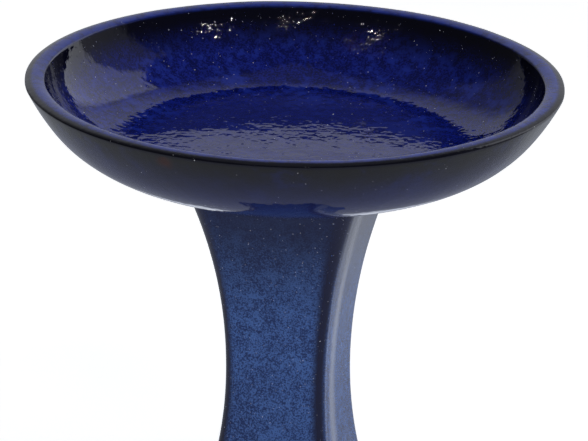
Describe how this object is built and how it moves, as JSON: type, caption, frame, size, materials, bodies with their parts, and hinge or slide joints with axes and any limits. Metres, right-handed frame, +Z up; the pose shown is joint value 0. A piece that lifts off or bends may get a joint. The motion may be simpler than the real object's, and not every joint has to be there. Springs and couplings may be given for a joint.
{
  "type": "bird bath",
  "caption": "Round shallow glazed basin with a broad flat rim, resting loose on a waisted square pedestal with rounded corners.",
  "frame": {"origin": "middle of the pedestal's foot, on the ground", "axes": "+Z up the axis of the basin and pedestal; X and Y square to the pedestal's faces"},
  "size_m": [0.52, 0.52, 0.4955],
  "materials": {
    "pedestal_glaze": "glossy cobalt glaze on stoneware, finely mottled",
    "seat_rubber": "matt black rubber",
    "basin_glaze": "deep glossy cobalt glaze on stoneware"
  },
  "bodies": {
    "pedestal": {"pedestal": "pedestal_glaze"},
    "seat_ring": {"seat_ring": "seat_rubber"},
    "basin": {"basin": "basin_glaze"}
  },
  "joints": [
    {"name": "basin_turn", "type": "hinge", "parent": "pedestal", "child": "seat_ring", "pos_m": [0, 0, 0.4064], "axis": [0, 0, 1], "continuous": true},
    {"name": "basin_lift", "type": "slide", "parent": "seat_ring", "child": "basin", "axis": [0, 0, 1], "range_m": [0, 0.15]}
  ]
}
